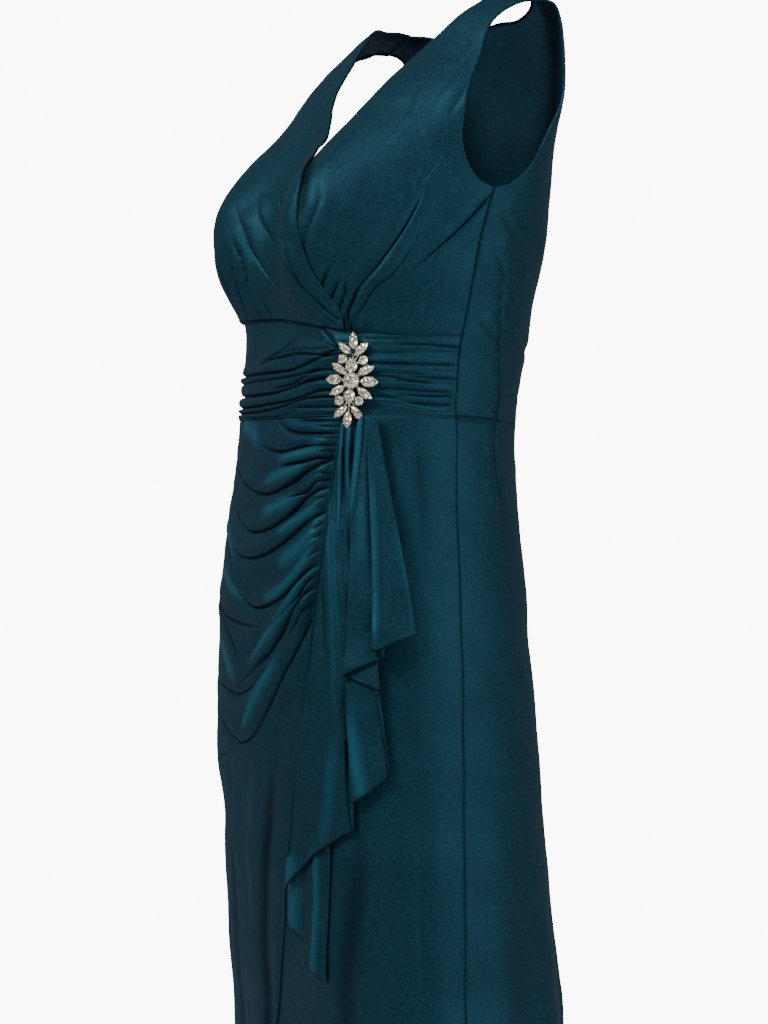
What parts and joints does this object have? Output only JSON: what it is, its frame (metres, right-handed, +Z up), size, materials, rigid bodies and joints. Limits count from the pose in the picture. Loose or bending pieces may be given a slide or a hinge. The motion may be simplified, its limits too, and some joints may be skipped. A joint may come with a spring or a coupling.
{
  "type": "draped wrap-front midi dress",
  "caption": "Sleeveless fitted dress, as worn: crossed V front, ruched waistband with a stone brooch, swagged skirt and a folded cascade.",
  "frame": {"origin": "midway between the two straps, on the line where they rest on the wearer's shoulders", "axes": "+Z up, -Y towards the front of the dress, +X towards the wearer's left"},
  "size_m": [0.3922, 0.3097, 1.1213],
  "materials": {
    "jersey": "fine knit jersey, dark teal, soft sheen",
    "setting": "bright silver-toned metal",
    "stone": "faceted pale crystal"
  },
  "bodies": {
    "root": {"bodice_front_right": "jersey", "bodice_front_left": "jersey", "bodice_back": "jersey", "midriff_right": "jersey", "midriff_left": "jersey", "skirt_drape_right": "jersey", "skirt_front_left": "jersey", "skirt_back": "jersey", "cascade": "jersey", "brooch_setting": "setting", "stone_01": "stone", "stone_02": "stone", "stone_03": "stone", "stone_04": "stone", "stone_05": "stone", "stone_06": "stone", "stone_07": "stone", "stone_08": "stone", "stone_09": "stone", "stone_10": "stone", "stone_11": "stone", "stone_12": "stone", "stone_13": "stone", "stone_14": "stone", "stone_15": "stone", "stone_16": "stone", "stone_17": "stone", "stone_18": "stone", "stone_19": "stone"}
  },
  "joints": []
}
